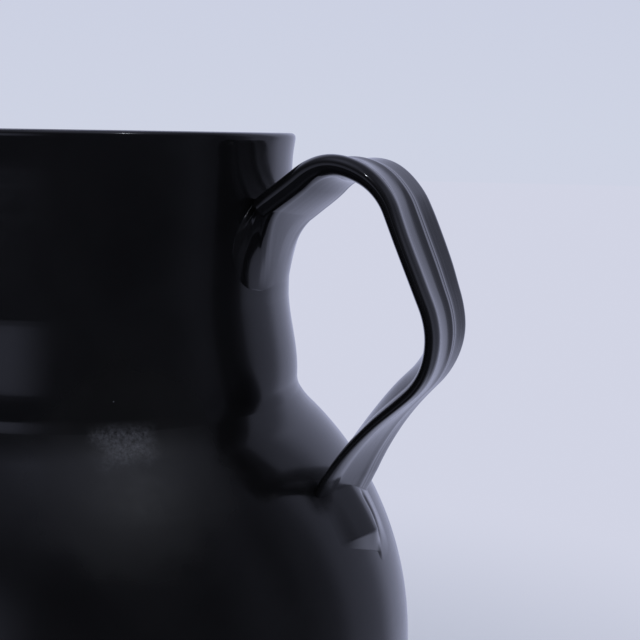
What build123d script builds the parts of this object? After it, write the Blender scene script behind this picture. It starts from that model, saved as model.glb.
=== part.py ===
"""An oinochoe: a round-bodied pottery jug with a wide neck and a tall three-ribbed strap handle.

The jug is made the way a potter makes it, from a thrown body, a foot ring, a thrown neck with a
pouring lip, a roll of clay worked over the neck's joint, and a pulled handle with its two roots.

Lengths are in millimetres. The origin is on the jug's axis, on the plane that the jug stands on.
Z is up, the handle is in the XZ plane on the +X side and the pouring lip faces -X.
"""

import os
from math import cos, exp, pi, sin, sqrt

from build123d import *

os.makedirs("parts", exist_ok=True)

# Foot ring
foot_height = 6.0
foot_setback = 4.0  # from the edge of the body's base to the ring's outside
foot_width = 8.0
foot_taper = 1.0  # how much the ring's sides draw in towards the ground
foot_edge_radius = 1.2

# Body, a globe cut flat at the base and drawn up into a short collar at the shoulder
body_radius = 101.0
base_radius = 62.0
body_wall = 5.0
floor_thickness = 7.0
floor_corner_radius = 16.0
shoulder_spread = 8.7  # from the neck's waist out to where the collar leaves the globe
collar_rise = 8.5
collar_step = 2.8  # how far the collar's top stands outside the neck's waist

# Neck
neck_height = 76.4
neck_radius = 61.7  # outside, at the waist
neck_flare = 0.8
neck_wall = 4.2
lip_wall = 3.0
lip_swell = 0.85
lip_depth = 5.0
lip_edge_radius = 1.2
waist_share = 0.38
neck_steps = 14
lip_round_shares = [1.0, 0.55, 0.25, 0.06, 0.0]  # of the lip's edge radius, counted down from the top

# Pouring lip, pulled outwards from the neck opposite the handle
spout_reach = 13.0
spout_pinch = 3.0
spout_spread = 0.36  # radians each side of the lip's middle
pinch_angle = 0.82
pinch_spread = 0.3
spout_start_share = 0.6
outline_points = 36

# Roll of clay over the neck's joint
roll_height = 18.0
roll_edge = 0.6
roll_bulge = 0.8

# Handle route, seen from the side
root_drop = 23.0  # from the lip down to where the strap leaves the neck
crest_out = 31.3  # from the neck's waist out to the corner over the crest
crest_up = 1.5
crest_radius = 17.2
elbow_out = 33.0  # from the strap's foot on the globe out to the corner at the elbow
elbow_up = 43.1
elbow_radius = 24.1
limb_run = 18.6  # from the elbow's corner to where the last soft bend starts
limb_angle = 46.3  # degrees below level, back towards the body
foot_angle = 33.2  # degrees above the globe's middle where the strap meets the body
root_standoff = 6.0
foot_standoff = 4.5

# Strap, cut across: three ribs outside, a rounded back inside
strap_width = 33.0
strap_thickness = 5.1
back_rise = 3.3
groove_depth = 1.3
groove_share = 0.33
crest_share = 0.66
back_corner_share = 0.9
# share of the way, width share, thickness share, back rise share, twist in degrees
strap_shares = [
    (0.00, 1.13, 1.00, 0.12, 8.5),
    (0.07, 1.09, 1.00, 0.17, 9.0),
    (0.14, 1.05, 1.00, 0.17, 7.5),
    (0.21, 1.02, 1.00, 0.13, 1.5),
    (0.28, 1.01, 1.00, 0.10, -2.0),
    (0.36, 1.00, 1.00, 0.12, -2.5),
    (0.46, 1.00, 1.00, 0.15, -2.0),
    (0.55, 1.00, 1.00, 0.22, -0.5),
    (0.62, 1.00, 0.99, 0.45, 1.0),
    (0.69, 1.01, 0.98, 0.92, 2.0),
    (0.76, 1.02, 0.96, 1.00, 1.5),
    (0.84, 1.02, 0.94, 0.80, -1.0),
    (0.92, 1.02, 0.91, 0.60, -4.0),
    (1.00, 1.02, 0.88, 0.45, -7.0),
]

# Upper root, the clay that spreads the strap onto the neck
ear_width = 45.6
ear_height = 33.0
ear_arch = 15.0  # how far its underside is hollowed up between the two lobes
ear_corner_share = 0.26
ear_drop = 13.3  # from the strap's root down to the ear's middle
ear_depth = 5.5  # how far the ear's outline lies inside the neck's face
web_width = 39.6  # the same clay where it leaves the neck's face
web_height = 10.4
web_arch = 0.8
web_corner_share = 0.7
web_drop = 1.8

# Lower root, the end of the strap pressed flat on the body
tongue_width = 31.0
tongue_back_rise = 0.8
tongue_rise = 2.8
tongue_sink = 3.0  # how far its back is let into the globe before it is cut to fit
tongue_angle = 8.2  # degrees round the globe, from the crease to the top of the end bevel
# share of the angle, width share, rise share, skew in degrees: the +Y end sits lower
tongue_shares = [
    (0.00, 1.00, 1.00, 11.0),
    (0.50, 1.12, 0.85, 8.0),
    (1.00, 1.22, 0.68, 4.0),
    (1.36, 1.22, 0.00, 17.0),
]

overrun = 5.0  # one length by which every cutting form passes the clay

# Heights and places that follow from the sizes above
shoulder_radius = neck_radius + shoulder_spread
collar_radius = neck_radius + collar_step
body_centre = foot_height + sqrt(body_radius**2 - base_radius**2)
shoulder_height = body_centre + sqrt(body_radius**2 - shoulder_radius**2)
collar_height = shoulder_height + collar_rise
jug_height = collar_height + neck_height
cavity_radius = body_radius - body_wall
floor_height = foot_height + floor_thickness
mouth_radius = neck_radius - neck_wall
lip_stations = [1 - lip_edge_radius * share / neck_height for share in lip_round_shares]
neck_stations = [lip_stations[0] * step / neck_steps for step in range(neck_steps + 1)]


def neck_side(share):
    """The neck's outer radius at a share of its height, before the lip is rounded."""
    flare = neck_flare * max(0, share - waist_share) / (1 - waist_share)
    swell = lip_swell * exp(-(((1 - share) * neck_height / lip_depth) ** 2))
    return neck_radius + flare + swell


def lip_rounding(share):
    """How far the lip's round edge draws each face of the wall in at a share of the height."""
    above = max(0, lip_edge_radius - (1 - share) * neck_height)
    return lip_edge_radius - sqrt(lip_edge_radius**2 - above**2)


def outer_radius(share):
    """The neck's outer radius at a share of its height, away from the pouring lip."""
    return neck_side(share) - lip_rounding(share)


def inner_radius(share):
    """The neck's inner radius: the wall thins evenly from the foot to the lip."""
    return neck_side(share) - neck_wall + (neck_wall - lip_wall) * share + lip_rounding(share)


def neck_outline(radius, share):
    """Points round the neck: a circle, pulled out at -X and pinched on both sides of the pull."""
    pull = (max(0, share - spout_start_share) / (1 - spout_start_share)) ** 2
    points = []
    for step in range(outline_points):
        angle = 2 * pi * step / outline_points
        off = abs(angle - pi)
        beak = spout_reach * exp(-((off / spout_spread) ** 2))
        pinch = spout_pinch * exp(-(((off - pinch_angle) / pinch_spread) ** 2))
        reach = radius + pull * (beak - pinch)
        points.append((reach * cos(angle), reach * sin(angle)))
    return points


def strap_section(width, thickness, rise, corner_share=back_corner_share):
    """The strap cut across, with its outer face towards +Y and its width along X."""
    half = width / 2
    side = thickness / 2 * corner_share
    corner = half - side
    groove = half * groove_share
    crest = half * crest_share
    top = thickness / 2
    with BuildSketch() as section:
        with BuildLine():
            ThreePointArc((-corner, -top), (-half + side / 4, -top * 2 / 3), (-half, 0))
            ThreePointArc((-half, 0), (-crest, top), (-groove, top - groove_depth))
            ThreePointArc((-groove, top - groove_depth), (0, top), (groove, top - groove_depth))
            ThreePointArc((groove, top - groove_depth), (crest, top), (half, 0))
            ThreePointArc((half, 0), (half - side / 4, -top * 2 / 3), (corner, -top))
            ThreePointArc((corner, -top), (0, -top - rise), (-corner, -top))
        make_face()
    return section.sketch


def across(origin, travel, twist=0):
    """A plane square to the strap's travel in XZ, with +Y outwards and a twist about the travel."""
    outward = travel.cross(Vector(0, 1, 0))
    turned = Vector(0, 1, 0) * cos(twist * pi / 180) - outward * sin(twist * pi / 180)
    return Plane(origin=origin, x_dir=turned, z_dir=travel)


def on_globe(angle, height):
    """A point in XZ at a height above the globe's surface, at an angle above its middle."""
    reach = body_radius + height
    turn = angle * pi / 180
    return Vector(reach * cos(turn), 0, body_centre + reach * sin(turn))


# Solid form of the body's outside, also used to cut what sits on it
with BuildPart() as body_form:
    with BuildSketch(Plane.XZ):
        with BuildLine():
            base_line = Line((0, foot_height), (base_radius, foot_height))
            belly = ThreePointArc(
                base_line @ 1, (body_radius, body_centre), (shoulder_radius, shoulder_height)
            )
            collar = TangentArc(belly @ 1, (collar_radius, collar_height), tangent=belly % 1)
            Polyline(collar @ 1, (0, collar_height), (0, foot_height))
        make_face()
    revolve(axis=Axis.Z)

# Hollow of the body, with a rounded corner at the floor
with BuildPart() as body_hollow:
    floor_radius = sqrt(cavity_radius**2 - (body_centre - floor_height) ** 2)
    throat_height = body_centre + sqrt(cavity_radius**2 - mouth_radius**2)
    with BuildSketch(Plane.XZ):
        with BuildLine():
            floor_line = Line((0, floor_height), (floor_radius, floor_height))
            inner_belly = ThreePointArc(
                floor_line @ 1, (cavity_radius, body_centre), (mouth_radius, throat_height)
            )
            throat = Line(inner_belly @ 1, (mouth_radius, collar_height + overrun))
            Polyline(throat @ 1, (0, collar_height + overrun), (0, floor_height))
        profile = make_face()
        floor_corner = profile.vertices().sort_by_distance((floor_radius, floor_height))[0]
        fillet(floor_corner, radius=floor_corner_radius)
    revolve(axis=Axis.Z)

with BuildPart() as body:
    add(body_form.part)
    add(body_hollow.part, mode=Mode.SUBTRACT)
body.part.label = "body"

with BuildPart() as foot_ring:
    ring_outside = base_radius - foot_setback
    ring_inside = ring_outside - foot_width
    with BuildSketch(Plane.XZ):
        with BuildLine():
            Polyline(
                (ring_inside, foot_height),
                (ring_inside + foot_taper, 0),
                (ring_outside - foot_taper, 0),
                (ring_outside, foot_height),
                close=True,
            )
        ring_profile = make_face()
        fillet(ring_profile.vertices().group_by(Axis.Y)[0], radius=foot_edge_radius)
    revolve(axis=Axis.Z)
foot_ring.part.label = "foot_ring"

# Solid form of the neck's outside, also used to cut what sits on it
with BuildPart() as neck_form:
    for stations, straight in ((neck_stations, False), (lip_stations, True)):
        for share in stations:
            with BuildSketch(Plane.XY.offset(collar_height + neck_height * share)):
                with BuildLine():
                    Spline(neck_outline(outer_radius(share), share), periodic=True)
                make_face()
        loft(ruled=straight)

with BuildPart() as neck_hollow:
    for stations, straight in ((neck_stations, False), (lip_stations, True)):
        for share in stations:
            with BuildSketch(Plane.XY.offset(collar_height + neck_height * share)):
                with BuildLine():
                    Spline(neck_outline(inner_radius(share), share), periodic=True)
                make_face()
        loft(ruled=straight)

with BuildPart() as neck:
    add(neck_form.part)
    add(neck_hollow.part, mode=Mode.SUBTRACT)
neck.part.label = "neck"

with BuildPart() as neck_roll:
    roll_top = collar_height + roll_height
    with BuildSketch(Plane.XZ):
        with BuildLine():
            roll_side = ThreePointArc(
                (collar_radius, collar_height),
                ((collar_radius + neck_radius + roll_edge) / 2 + roll_bulge, collar_height + roll_height / 2),
                (neck_radius + roll_edge, roll_top),
            )
            Polyline(
                roll_side @ 1,
                (mouth_radius, roll_top),
                (mouth_radius, collar_height),
                roll_side @ 0,
            )
        make_face()
    revolve(axis=Axis.Z)
    add(neck_form.part, mode=Mode.SUBTRACT)
neck_roll.part.label = "neck_roll"

# Route of the strap's middle line, from the neck's face over the crest and the elbow to the body
strap_root = Vector(outer_radius(1 - root_drop / neck_height), 0, jug_height - root_drop)
strap_foot = on_globe(foot_angle, 0)
elbow_corner = (strap_foot.X + elbow_out, strap_foot.Z + elbow_up)
limb_turn = limb_angle * pi / 180
with BuildLine(Plane.XZ) as route:
    upper_route = FilletPolyline(
        (strap_root.X, strap_root.Z),
        (neck_radius + crest_out, jug_height + crest_up),
        elbow_corner,
        (elbow_corner[0] - limb_run * cos(limb_turn), elbow_corner[1] - limb_run * sin(limb_turn)),
        radius=[crest_radius, elbow_radius],
    )
    TangentArc(upper_route @ 1, (strap_foot.X, strap_foot.Z), tangent=upper_route % 1)
route_wire = route.wire()
strap_length = route_wire.length - root_standoff - foot_standoff


def strap_plane(share, twist):
    """The plane across the strap at a share of its length."""
    place = root_standoff + strap_length * share
    origin = route_wire.position_at(place, position_mode=PositionMode.LENGTH)
    travel = route_wire.tangent_at(place, position_mode=PositionMode.LENGTH)
    return across(origin, travel, twist)


def strap_cut(width_share, thickness_share, rise_share):
    """The strap's section at one station."""
    return strap_section(
        strap_width * width_share, strap_thickness * thickness_share, back_rise * rise_share
    )


with BuildPart() as handle_strap:
    for share, width_share, thickness_share, rise_share, twist in strap_shares:
        with BuildSketch(strap_plane(share, twist)):
            add(strap_cut(width_share, thickness_share, rise_share))
    loft()
handle_strap.part.label = "handle_strap"

with BuildPart() as handle_upper_root:
    share, width_share, thickness_share, rise_share, twist = strap_shares[0]
    for depth, drop, spread, height, arch, corner_share in (
        (ear_depth, ear_drop, ear_width, ear_height, ear_arch, ear_corner_share),
        (0, web_drop, web_width, web_height, web_arch, web_corner_share),
    ):
        middle = Vector(strap_root.X - depth, 0, strap_root.Z - drop)
        with BuildSketch(across(middle, Vector(1, 0, 0))):
            add(strap_section(spread, height, -arch, corner_share))
    with BuildSketch(strap_plane(share, twist)):
        add(strap_cut(width_share, thickness_share, rise_share))
    loft()
    add(neck_form.part, mode=Mode.SUBTRACT)
handle_upper_root.part.label = "handle_upper_root"

with BuildPart() as handle_lower_root:
    share, width_share, thickness_share, rise_share, twist = strap_shares[-1]
    for angle_share, spread_share, lift_share, skew in tongue_shares:
        angle = foot_angle - tongue_angle * angle_share
        rise = tongue_rise * lift_share
        turn = angle * pi / 180
        lean = skew * pi / 180
        travel = Vector(sin(turn) * cos(lean), -sin(lean), -cos(turn) * cos(lean))
        with BuildSketch(across(on_globe(angle, (rise - tongue_sink) / 2), travel)):
            add(strap_section(tongue_width * spread_share, rise + tongue_sink, tongue_back_rise))
    loft(ruled=True)
    with BuildSketch(strap_plane(share, twist)):
        add(strap_cut(width_share, thickness_share, rise_share))
    extrude(amount=foot_standoff + tongue_sink)
    add(body_form.part, mode=Mode.SUBTRACT)
handle_lower_root.part.label = "handle_lower_root"

for piece in (body, foot_ring, neck, neck_roll, handle_strap, handle_upper_root, handle_lower_root):
    export_step(piece.part, f"parts/{piece.part.label}.step")
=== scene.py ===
# %% [markdown]
# # A black-glazed oinochoe
#
# An oinochoe is a wine jug: a round body thrown on a wheel, a wide neck with a pulled pouring lip,
# and a strap handle drawn out by hand, here with three ribs along its outer face. This lesson
# dresses the imported CAD model of such a jug. The pieces made here follow the CAD's main sizes with
# finer surfaces, because a glossy black glaze shows every facet of the surface under it.
#
# The first cell loads the frame and the imported CAD model.

# %% Load the frame
from math import atan2, cos, exp, hypot, pi, radians, sin, sqrt, tan

import bmesh
import bpy
import numpy as np
from mathutils import Matrix, Vector


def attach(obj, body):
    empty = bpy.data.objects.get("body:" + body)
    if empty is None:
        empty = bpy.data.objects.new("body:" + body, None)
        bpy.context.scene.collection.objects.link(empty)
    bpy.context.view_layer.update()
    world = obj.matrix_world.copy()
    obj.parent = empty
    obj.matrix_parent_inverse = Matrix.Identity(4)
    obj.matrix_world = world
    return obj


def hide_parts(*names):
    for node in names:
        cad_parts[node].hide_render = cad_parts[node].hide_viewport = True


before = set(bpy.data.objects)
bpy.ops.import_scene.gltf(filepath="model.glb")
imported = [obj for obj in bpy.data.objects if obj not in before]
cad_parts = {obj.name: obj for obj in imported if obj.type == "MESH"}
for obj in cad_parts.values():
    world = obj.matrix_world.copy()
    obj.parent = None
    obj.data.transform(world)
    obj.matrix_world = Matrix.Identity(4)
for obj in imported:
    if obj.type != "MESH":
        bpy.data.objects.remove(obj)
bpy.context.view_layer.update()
mm = 0.001
print("CAD nodes:", sorted(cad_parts))

# %% [markdown]
# ## Sizes
#
# These are the driving sizes of the thrown pieces, the same as in the CAD source but for the height
# of the lip's rounding. Lengths are written in millimetres and multiplied by `mm`, because Blender
# works in metres here.

# %% The jug's sizes
foot_height = 6 * mm
body_radius = 101 * mm
base_radius = 62 * mm
body_wall = 5 * mm
floor_thickness = 7 * mm
floor_corner_radius = 16 * mm
shoulder_radius = 70.4 * mm
collar_rise = 8.5 * mm
collar_radius = 64.5 * mm
neck_height = 76.4 * mm
neck_radius = 61.7 * mm
neck_flare = 0.8 * mm
neck_wall = 4.2 * mm
waist_share = 0.38
lip_wall = 3 * mm
lip_swell = 0.85 * mm
lip_depth = 5 * mm
lip_round = 1.6 * mm
mouth_radius = neck_radius - neck_wall

body_centre = foot_height + sqrt(body_radius**2 - base_radius**2)
shoulder_height = body_centre + sqrt(body_radius**2 - shoulder_radius**2)
collar_height = shoulder_height + collar_rise
jug_height = collar_height + neck_height
print("jug height in mm:", round(jug_height / mm, 2))

# %% [markdown]
# ## Small helpers for node trees
#
# Node trees written in Python soon become long. Here the output of a node is wrapped as a `Flow`,
# and plain signs between flows and numbers add Math nodes, so a sum in a tree reads like a sum on
# paper. `out` adds any other node and gives one of its outputs. An input is either a plain value
# or a flow from another node.

# %% Node helpers
class Flow:
    """A value on its way through a node tree. Signs between flows and numbers add Math nodes."""

    def __init__(self, tree, socket):
        self.tree, self.socket = tree, socket

    def math(self, operation, *others):
        """A Math node that starts from this value."""
        return calc(self.tree, operation, self, *others)

    def __abs__(self):
        return self.math("ABSOLUTE")


def sign(operation, swapped):
    """What a plain sign does: a Math node with this value first, or second where swapped."""
    return lambda self, other: calc(self.tree, operation, *((other, self) if swapped else (self, other)))


for short, operation in {
    "add": "ADD", "sub": "SUBTRACT", "mul": "MULTIPLY", "truediv": "DIVIDE", "pow": "POWER",
}.items():
    setattr(Flow, f"__{short}__", sign(operation, swapped=False))
    setattr(Flow, f"__r{short}__", sign(operation, swapped=True))


def add_node(tree, kind, inputs=None, **settings):
    """A node with its settings, and its inputs given by name or by number."""
    new = tree.nodes.new(kind)
    for name, value in settings.items():
        setattr(new, name, value)
    for name, value in (inputs or {}).items():
        if isinstance(value, Flow):
            tree.links.new(value.socket, new.inputs[name])
        else:
            new.inputs[name].default_value = value
    return new


def out(tree, kind, inputs=None, output=0, **settings):
    """One output of a new node, by its name or its number."""
    return Flow(tree, add_node(tree, kind, inputs, **settings).outputs[output])


def calc(tree, operation, *values):
    """The result of a Math node."""
    return out(tree, "ShaderNodeMath", dict(enumerate(values)), operation=operation)


def calc_vector(tree, operation, first, second=(0, 0, 0), scale=1.0, output=0):
    """The result of a Vector Math node."""
    inputs = {0: first, "Scale": scale} if operation == "SCALE" else {0: first, 1: second}
    return out(tree, "ShaderNodeVectorMath", inputs, output, operation=operation)


def split(vector):
    """The three numbers of a vector."""
    parts = add_node(vector.tree, "ShaderNodeSeparateXYZ", {0: vector}).outputs
    return [Flow(vector.tree, part) for part in parts]


def join(tree, *numbers):
    """A vector of three numbers."""
    return out(tree, "ShaderNodeCombineXYZ", dict(enumerate(numbers)))


def fit(value, start, end, smooth=True, top=1.0):
    """A Map Range node: 0 at the start, the top value at the end, eased at both where smooth."""
    return out(
        value.tree, "ShaderNodeMapRange", {"Value": value, "From Min": start, "From Max": end, "To Max": top},
        interpolation_type="SMOOTHSTEP" if smooth else "LINEAR",
    )


def noise(tree, **inputs):
    """The value of a Noise Texture, in as many dimensions as its inputs need."""
    dimensions = 3 * ("Vector" in inputs) + ("W" in inputs)
    return out(tree, "ShaderNodeTexNoise", inputs, noise_dimensions=f"{dimensions}D")


def new_group(kind, name, inputs, outputs):
    """An empty node group with named sockets: gives the group, and its inputs by name."""
    group = bpy.data.node_groups.new(name, kind)
    for side, rows in (("INPUT", inputs), ("OUTPUT", outputs)):
        for label, socket_kind, *value in rows:
            socket = group.interface.new_socket(label, in_out=side, socket_type="NodeSocket" + socket_kind)
            if value:
                socket.default_value = value[0]
    given = group.nodes.new("NodeGroupInput").outputs
    return group, {socket.name: Flow(group, socket) for socket in given}


# %% [markdown]
# ## A potter's wheel made of nodes
#
# The body, foot ring, neck and roll were all shaped on a wheel, so one Geometry Nodes tree turns
# them all. It takes a line of points, the half profile that a rib tool would cut, and copies it
# round the axis: a grid has one column for each step round and one row for each profile point, and
# Set Position moves each grid point to its place. Spin would do the turning as well, but the tree
# can also add what the hand leaves: faint throwing lines, a slight wobble, and the pull of the
# pouring lip.

# %% The wheel tree
def finish_tree(tree, mesh, material, merge_within=0.002 * mm):
    """Merges the seam and poles, shades smooth and ends the tree."""
    for kind, inputs in (
        ("MergeByDistance", {"Distance": merge_within}), ("SetShadeSmooth", {}), ("RealizeInstances", {}),
        ("SetMaterial", {"Material": material}),
    ):
        mesh = out(tree, "GeometryNode" + kind, {"Geometry": mesh, **inputs})
    add_node(tree, "NodeGroupOutput", {"Geometry": mesh})
    print(f"{tree.name}: {len(tree.nodes)} nodes")


def swept_grid(tree, rows, columns):
    """A grid of rows and columns: gives the mesh, and each point's row and column."""
    size = {"Vertices X": columns, "Vertices Y": rows, "Size X": 1.0, "Size Y": 1.0}
    index = out(tree, "GeometryNodeInputIndex")
    column = ((index + 0.5) / rows).math("FLOOR")
    return out(tree, "GeometryNodeMeshGrid", size, "Mesh"), index.math("MODULO", rows), column


def sampled(geometry, kind, value, index):
    """A value of one point of a geometry, by the point's number."""
    inputs = {"Geometry": geometry, "Index": index, "Value": value}
    return out(geometry.tree, "GeometryNodeSampleIndex", inputs, data_type=kind)


def moved(mesh, places):
    """A mesh with each point moved to its place."""
    return out(mesh.tree, "GeometryNodeSetPosition", {"Geometry": mesh, "Position": places})


def point_count(geometry):
    """How many points a geometry has."""
    return out(geometry.tree, "GeometryNodeAttributeDomainSize", {"Geometry": geometry}, "Point Count")


def bell(value, spread):
    """1 where the value is 0, falling off on both sides."""
    return (abs(value / spread) ** 2.0 * -1.0).math("EXPONENT")


wheel, wheel_in = new_group("GeometryNodeTree", "thrown_on_the_wheel", [
    ("Geometry", "Geometry"),
    ("Steps round", "Int", 288),
    ("Throwing line depth", "Float", 0.02 * mm),
    ("Throwing line spacing", "Float", 3.5 * mm),
    ("Wobble", "Float", 0.1 * mm),
    ("Spout reach", "Float", 0.0),
    ("Spout pinch", "Float", 0.0),
    ("Spout start height", "Float", 0.0),
    ("Spout top height", "Float", 1.0),
    ("Seed", "Float", 1.0),
    ("Material", "Material"),
], [("Geometry", "Geometry")])
profile = wheel_in["Geometry"]
wheel_mesh, profile_row, turn_step = swept_grid(wheel, point_count(profile), wheel_in["Steps round"] + 1)
here = out(wheel, "GeometryNodeInputPosition")
profile_out, _, profile_up = split(sampled(profile, "FLOAT_VECTOR", here, profile_row))
turn = turn_step / wheel_in["Steps round"] * (2 * pi)
round_x, round_y = turn.math("COSINE"), turn.math("SINE")

# Faint throwing lines: one-dimensional noise along the height
line_place = profile_up / wheel_in["Throwing line spacing"] + wheel_in["Seed"]
lines_raised = (noise(wheel, W=line_place, Scale=1.0, Detail=2.0) - 1.0) * wheel_in["Throwing line depth"]
# A slow wobble: noise on a ring, so that it closes on itself
wobble_per_metre = 12.0
ring = join(wheel, round_x, round_y, profile_up * wobble_per_metre)
wobble = (noise(wheel, Vector=ring, W=wheel_in["Seed"], Scale=0.9, Detail=0.0) - 1.0) * wheel_in["Wobble"]
# Nothing moves at the axis, where the profile closes on a single point
free_radius = 20 * mm
hand_left = (lines_raised + wobble) * fit(profile_out, 0.0, free_radius)

# The pouring lip: pulled out at -X, pinched in on both sides of the pull
spout_spread, pinch_angle, pinch_spread = 0.36, 0.82, 0.3
off_spout = abs(turn - pi)
pulled_out = bell(off_spout, spout_spread) * wheel_in["Spout reach"]
pinched_in = bell(off_spout - pinch_angle, pinch_spread) * wheel_in["Spout pinch"]
spout_height = fit(profile_up, wheel_in["Spout start height"], wheel_in["Spout top height"], smooth=False)
reach = profile_out + (hand_left + spout_height**2.0 * (pulled_out - pinched_in))
thrown_point = join(wheel, reach * round_x, reach * round_y, profile_up)
finish_tree(wheel, moved(wheel_mesh, thrown_point), wheel_in["Material"])

# %% [markdown]
# ## From a profile line to a plain mesh
#
# A modifier's inputs are set by each socket's identifier, before Blender evaluates the object for
# the first time. Then `new_from_object` gives the evaluated result as a plain mesh, and the
# modifier goes with the object that carried it. The normals are worked out afresh, because nothing
# in the tree says which side of a turned shape is the outside.

# %% Make a piece with a tree
def plain_mesh(name, points, edges=(), faces=()):
    """A mesh made of plain lists."""
    mesh = bpy.data.meshes.new(name)
    mesh.from_pydata([tuple(float(value) for value in point) for point in points], list(edges), list(faces))
    return mesh


def line_mesh(name, points):
    """A mesh that is a line of points."""
    return plain_mesh(name, points, [(number, number + 1) for number in range(len(points) - 1)])


def show(name, data):
    """Adds a finished mesh, or other data, to the scene as an object at the origin."""
    piece = bpy.data.objects.new(name, data)
    bpy.context.scene.collection.objects.link(piece)
    return piece


def show_shell(name, mesh):
    """Turns the faces of a closed shell outwards, shades it smooth and shows it."""
    shell = bmesh.new()
    shell.from_mesh(mesh)
    bmesh.ops.recalc_face_normals(shell, faces=shell.faces)
    open_edges = sum(1 for edge in shell.edges if len(edge.link_faces) != 2)
    shell.to_mesh(mesh)
    shell.free()
    mesh.shade_smooth()
    print(f"{name}: {len(mesh.polygons)} faces, {open_edges} open edges")
    return show(name, mesh)


def made_by(tree, name, source, values):
    """Runs a source mesh through a Geometry Nodes tree and shows the plain mesh that comes out."""
    carrier = show(name + "_line", source)
    modifier = carrier.modifiers.new(tree.name, "NODES")
    modifier.node_group = tree
    sockets = {item.name: item.identifier for item in tree.interface.items_tree if item.in_out == "INPUT"}
    for label, value in values.items():
        modifier[sockets[label]] = value
    evaluated = carrier.evaluated_get(bpy.context.evaluated_depsgraph_get())
    mesh = bpy.data.meshes.new_from_object(evaluated)
    bpy.data.objects.remove(carrier)
    mesh.name = name
    return show_shell(name, mesh)


# %% [markdown]
# ## Materials to come
#
# The trees end in Set Material, so the two materials are made empty here and get their nodes after
# all the shapes are there: the glaze on every piece but the foot ring, and the bare clay of the foot.
# The marks of the hand are nearly the same on every thrown piece, so their values are kept here too.

# %% Two empty materials
glaze = bpy.data.materials.new("glaze")
foot_clay = bpy.data.materials.new("foot_clay")
hand = {
    "Throwing line depth": 0.022 * mm, "Throwing line spacing": 3.2 * mm, "Wobble": 0.12 * mm, "Seed": 4.0,
}


def thrown_piece(name, profile, steps, material=glaze, **values):
    """A piece turned from a half profile, a list of radius and height."""
    source = line_mesh(name, [(radius, 0, height) for radius, height in profile])
    return made_by(wheel, name, source, {**hand, **values, "Steps round": steps, "Material": material})


# %% [markdown]
# ## The body
#
# The body is a hollow globe with a rounded floor inside and a low collar where the neck sits. A
# sphere primitive would give the outside alone, so a profile line is drawn instead: along the
# base, up the globe, over the collar, then back down the inside of the wall. Each arc is a row of
# points at even angles.

# %% Draw profiles out of arcs
def arc(centre, radius, start, end, steps):
    """Points of an arc in the profile's plane, the angles in radians from level."""
    angles = np.linspace(start, end, steps + 1)
    return [(centre[0] + radius * cos(angle), centre[1] + radius * sin(angle)) for angle in angles]


def along(start, end, steps):
    """Points on a straight run, both ends included."""
    shares = [step / steps for step in range(steps + 1)]
    return [tuple(first + (last - first) * share for first, last in zip(start, end)) for share in shares]


def tidy_line(points, closest=0.01 * mm):
    """The points without neighbours that fall on each other."""
    kept = [points[0]]
    for point in points[1:]:
        if hypot(point[0] - kept[-1][0], point[1] - kept[-1][1]) > closest:
            kept.append(point)
    return kept


# Where the collar's arc has its centre: it leaves the globe without a kink at the shoulder
shoulder_angle = atan2(shoulder_height - body_centre, shoulder_radius)
globe_out = np.array([cos(shoulder_angle), sin(shoulder_angle)])
across_collar = np.array([collar_radius - shoulder_radius, collar_height - shoulder_height])
collar_bend = float(across_collar @ across_collar) / (2 * float(across_collar @ globe_out))
collar_centre = np.array([shoulder_radius, shoulder_height]) + globe_out * collar_bend
collar_end = atan2(collar_height - collar_centre[1], collar_radius - collar_centre[0])
collar_start = atan2(shoulder_height - collar_centre[1], shoulder_radius - collar_centre[0])
print("collar bend radius in mm:", round(collar_bend / mm, 2))

# %% Throw the body
# The base's edge is rounded: where its arc starts, where it ends, and where the globe takes over
edge_round = 1.0 * mm
edge_start, edge_end = base_radius - 1.4 * edge_round, -pi / 5
globe_start = atan2(foot_height - body_centre, base_radius) + 0.9 * edge_round / body_radius
body_outside = along((0, foot_height), (edge_start, foot_height), 24)
body_outside += arc((edge_start, foot_height + edge_round), edge_round, -pi / 2, edge_end, 5)
body_outside += arc((0, body_centre), body_radius, globe_start, shoulder_angle, 170)
body_outside += arc(collar_centre, abs(collar_bend), collar_start % (2 * pi), collar_end % (2 * pi), 16)

cavity_radius = body_radius - body_wall
floor_height = foot_height + floor_thickness
throat_angle = atan2(sqrt(cavity_radius**2 - mouth_radius**2), mouth_radius)
throat_height = body_centre + cavity_radius * sin(throat_angle)
corner_height = floor_height + floor_corner_radius
corner_reach = sqrt((cavity_radius - floor_corner_radius) ** 2 - (body_centre - corner_height) ** 2)
corner_angle = atan2(corner_height - body_centre, corner_reach)
body_inside = along((mouth_radius, collar_height), (mouth_radius, throat_height), 4)
body_inside += arc((0, body_centre), cavity_radius, throat_angle, corner_angle, 80)
body_inside += arc((corner_reach, corner_height), floor_corner_radius, corner_angle, -pi / 2, 10)
body_inside += along((corner_reach, floor_height), (0, floor_height), 12)
body = thrown_piece("globe_body", tidy_line(body_outside + body_inside), 300)

# %% [markdown]
# ## The foot ring
#
# A coil of clay turned true under the floor. It is the only part without glaze, because glaze on
# it would fuse the jug to the kiln shelf. The same wheel tree turns a small closed profile.

# %% Turn the foot ring
def unit(vector):
    """A direction of length 1."""
    return vector / hypot(*vector)


def turn_between(first, second):
    """The turn in radians from one direction in the plane to another."""
    return atan2(first[0] * second[1] - first[1] * second[0], float(np.dot(first, second)))


def swing(centre, arm, turning, steps):
    """Points that the end of an arm passes as it swings about a centre, both ends included."""
    x, y = arm
    turns = [(cos(turning * step / steps), sin(turning * step / steps)) for step in range(steps + 1)]
    return [(centre[0] + x * level - y * up, centre[1] + x * up + y * level) for level, up in turns]


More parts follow.
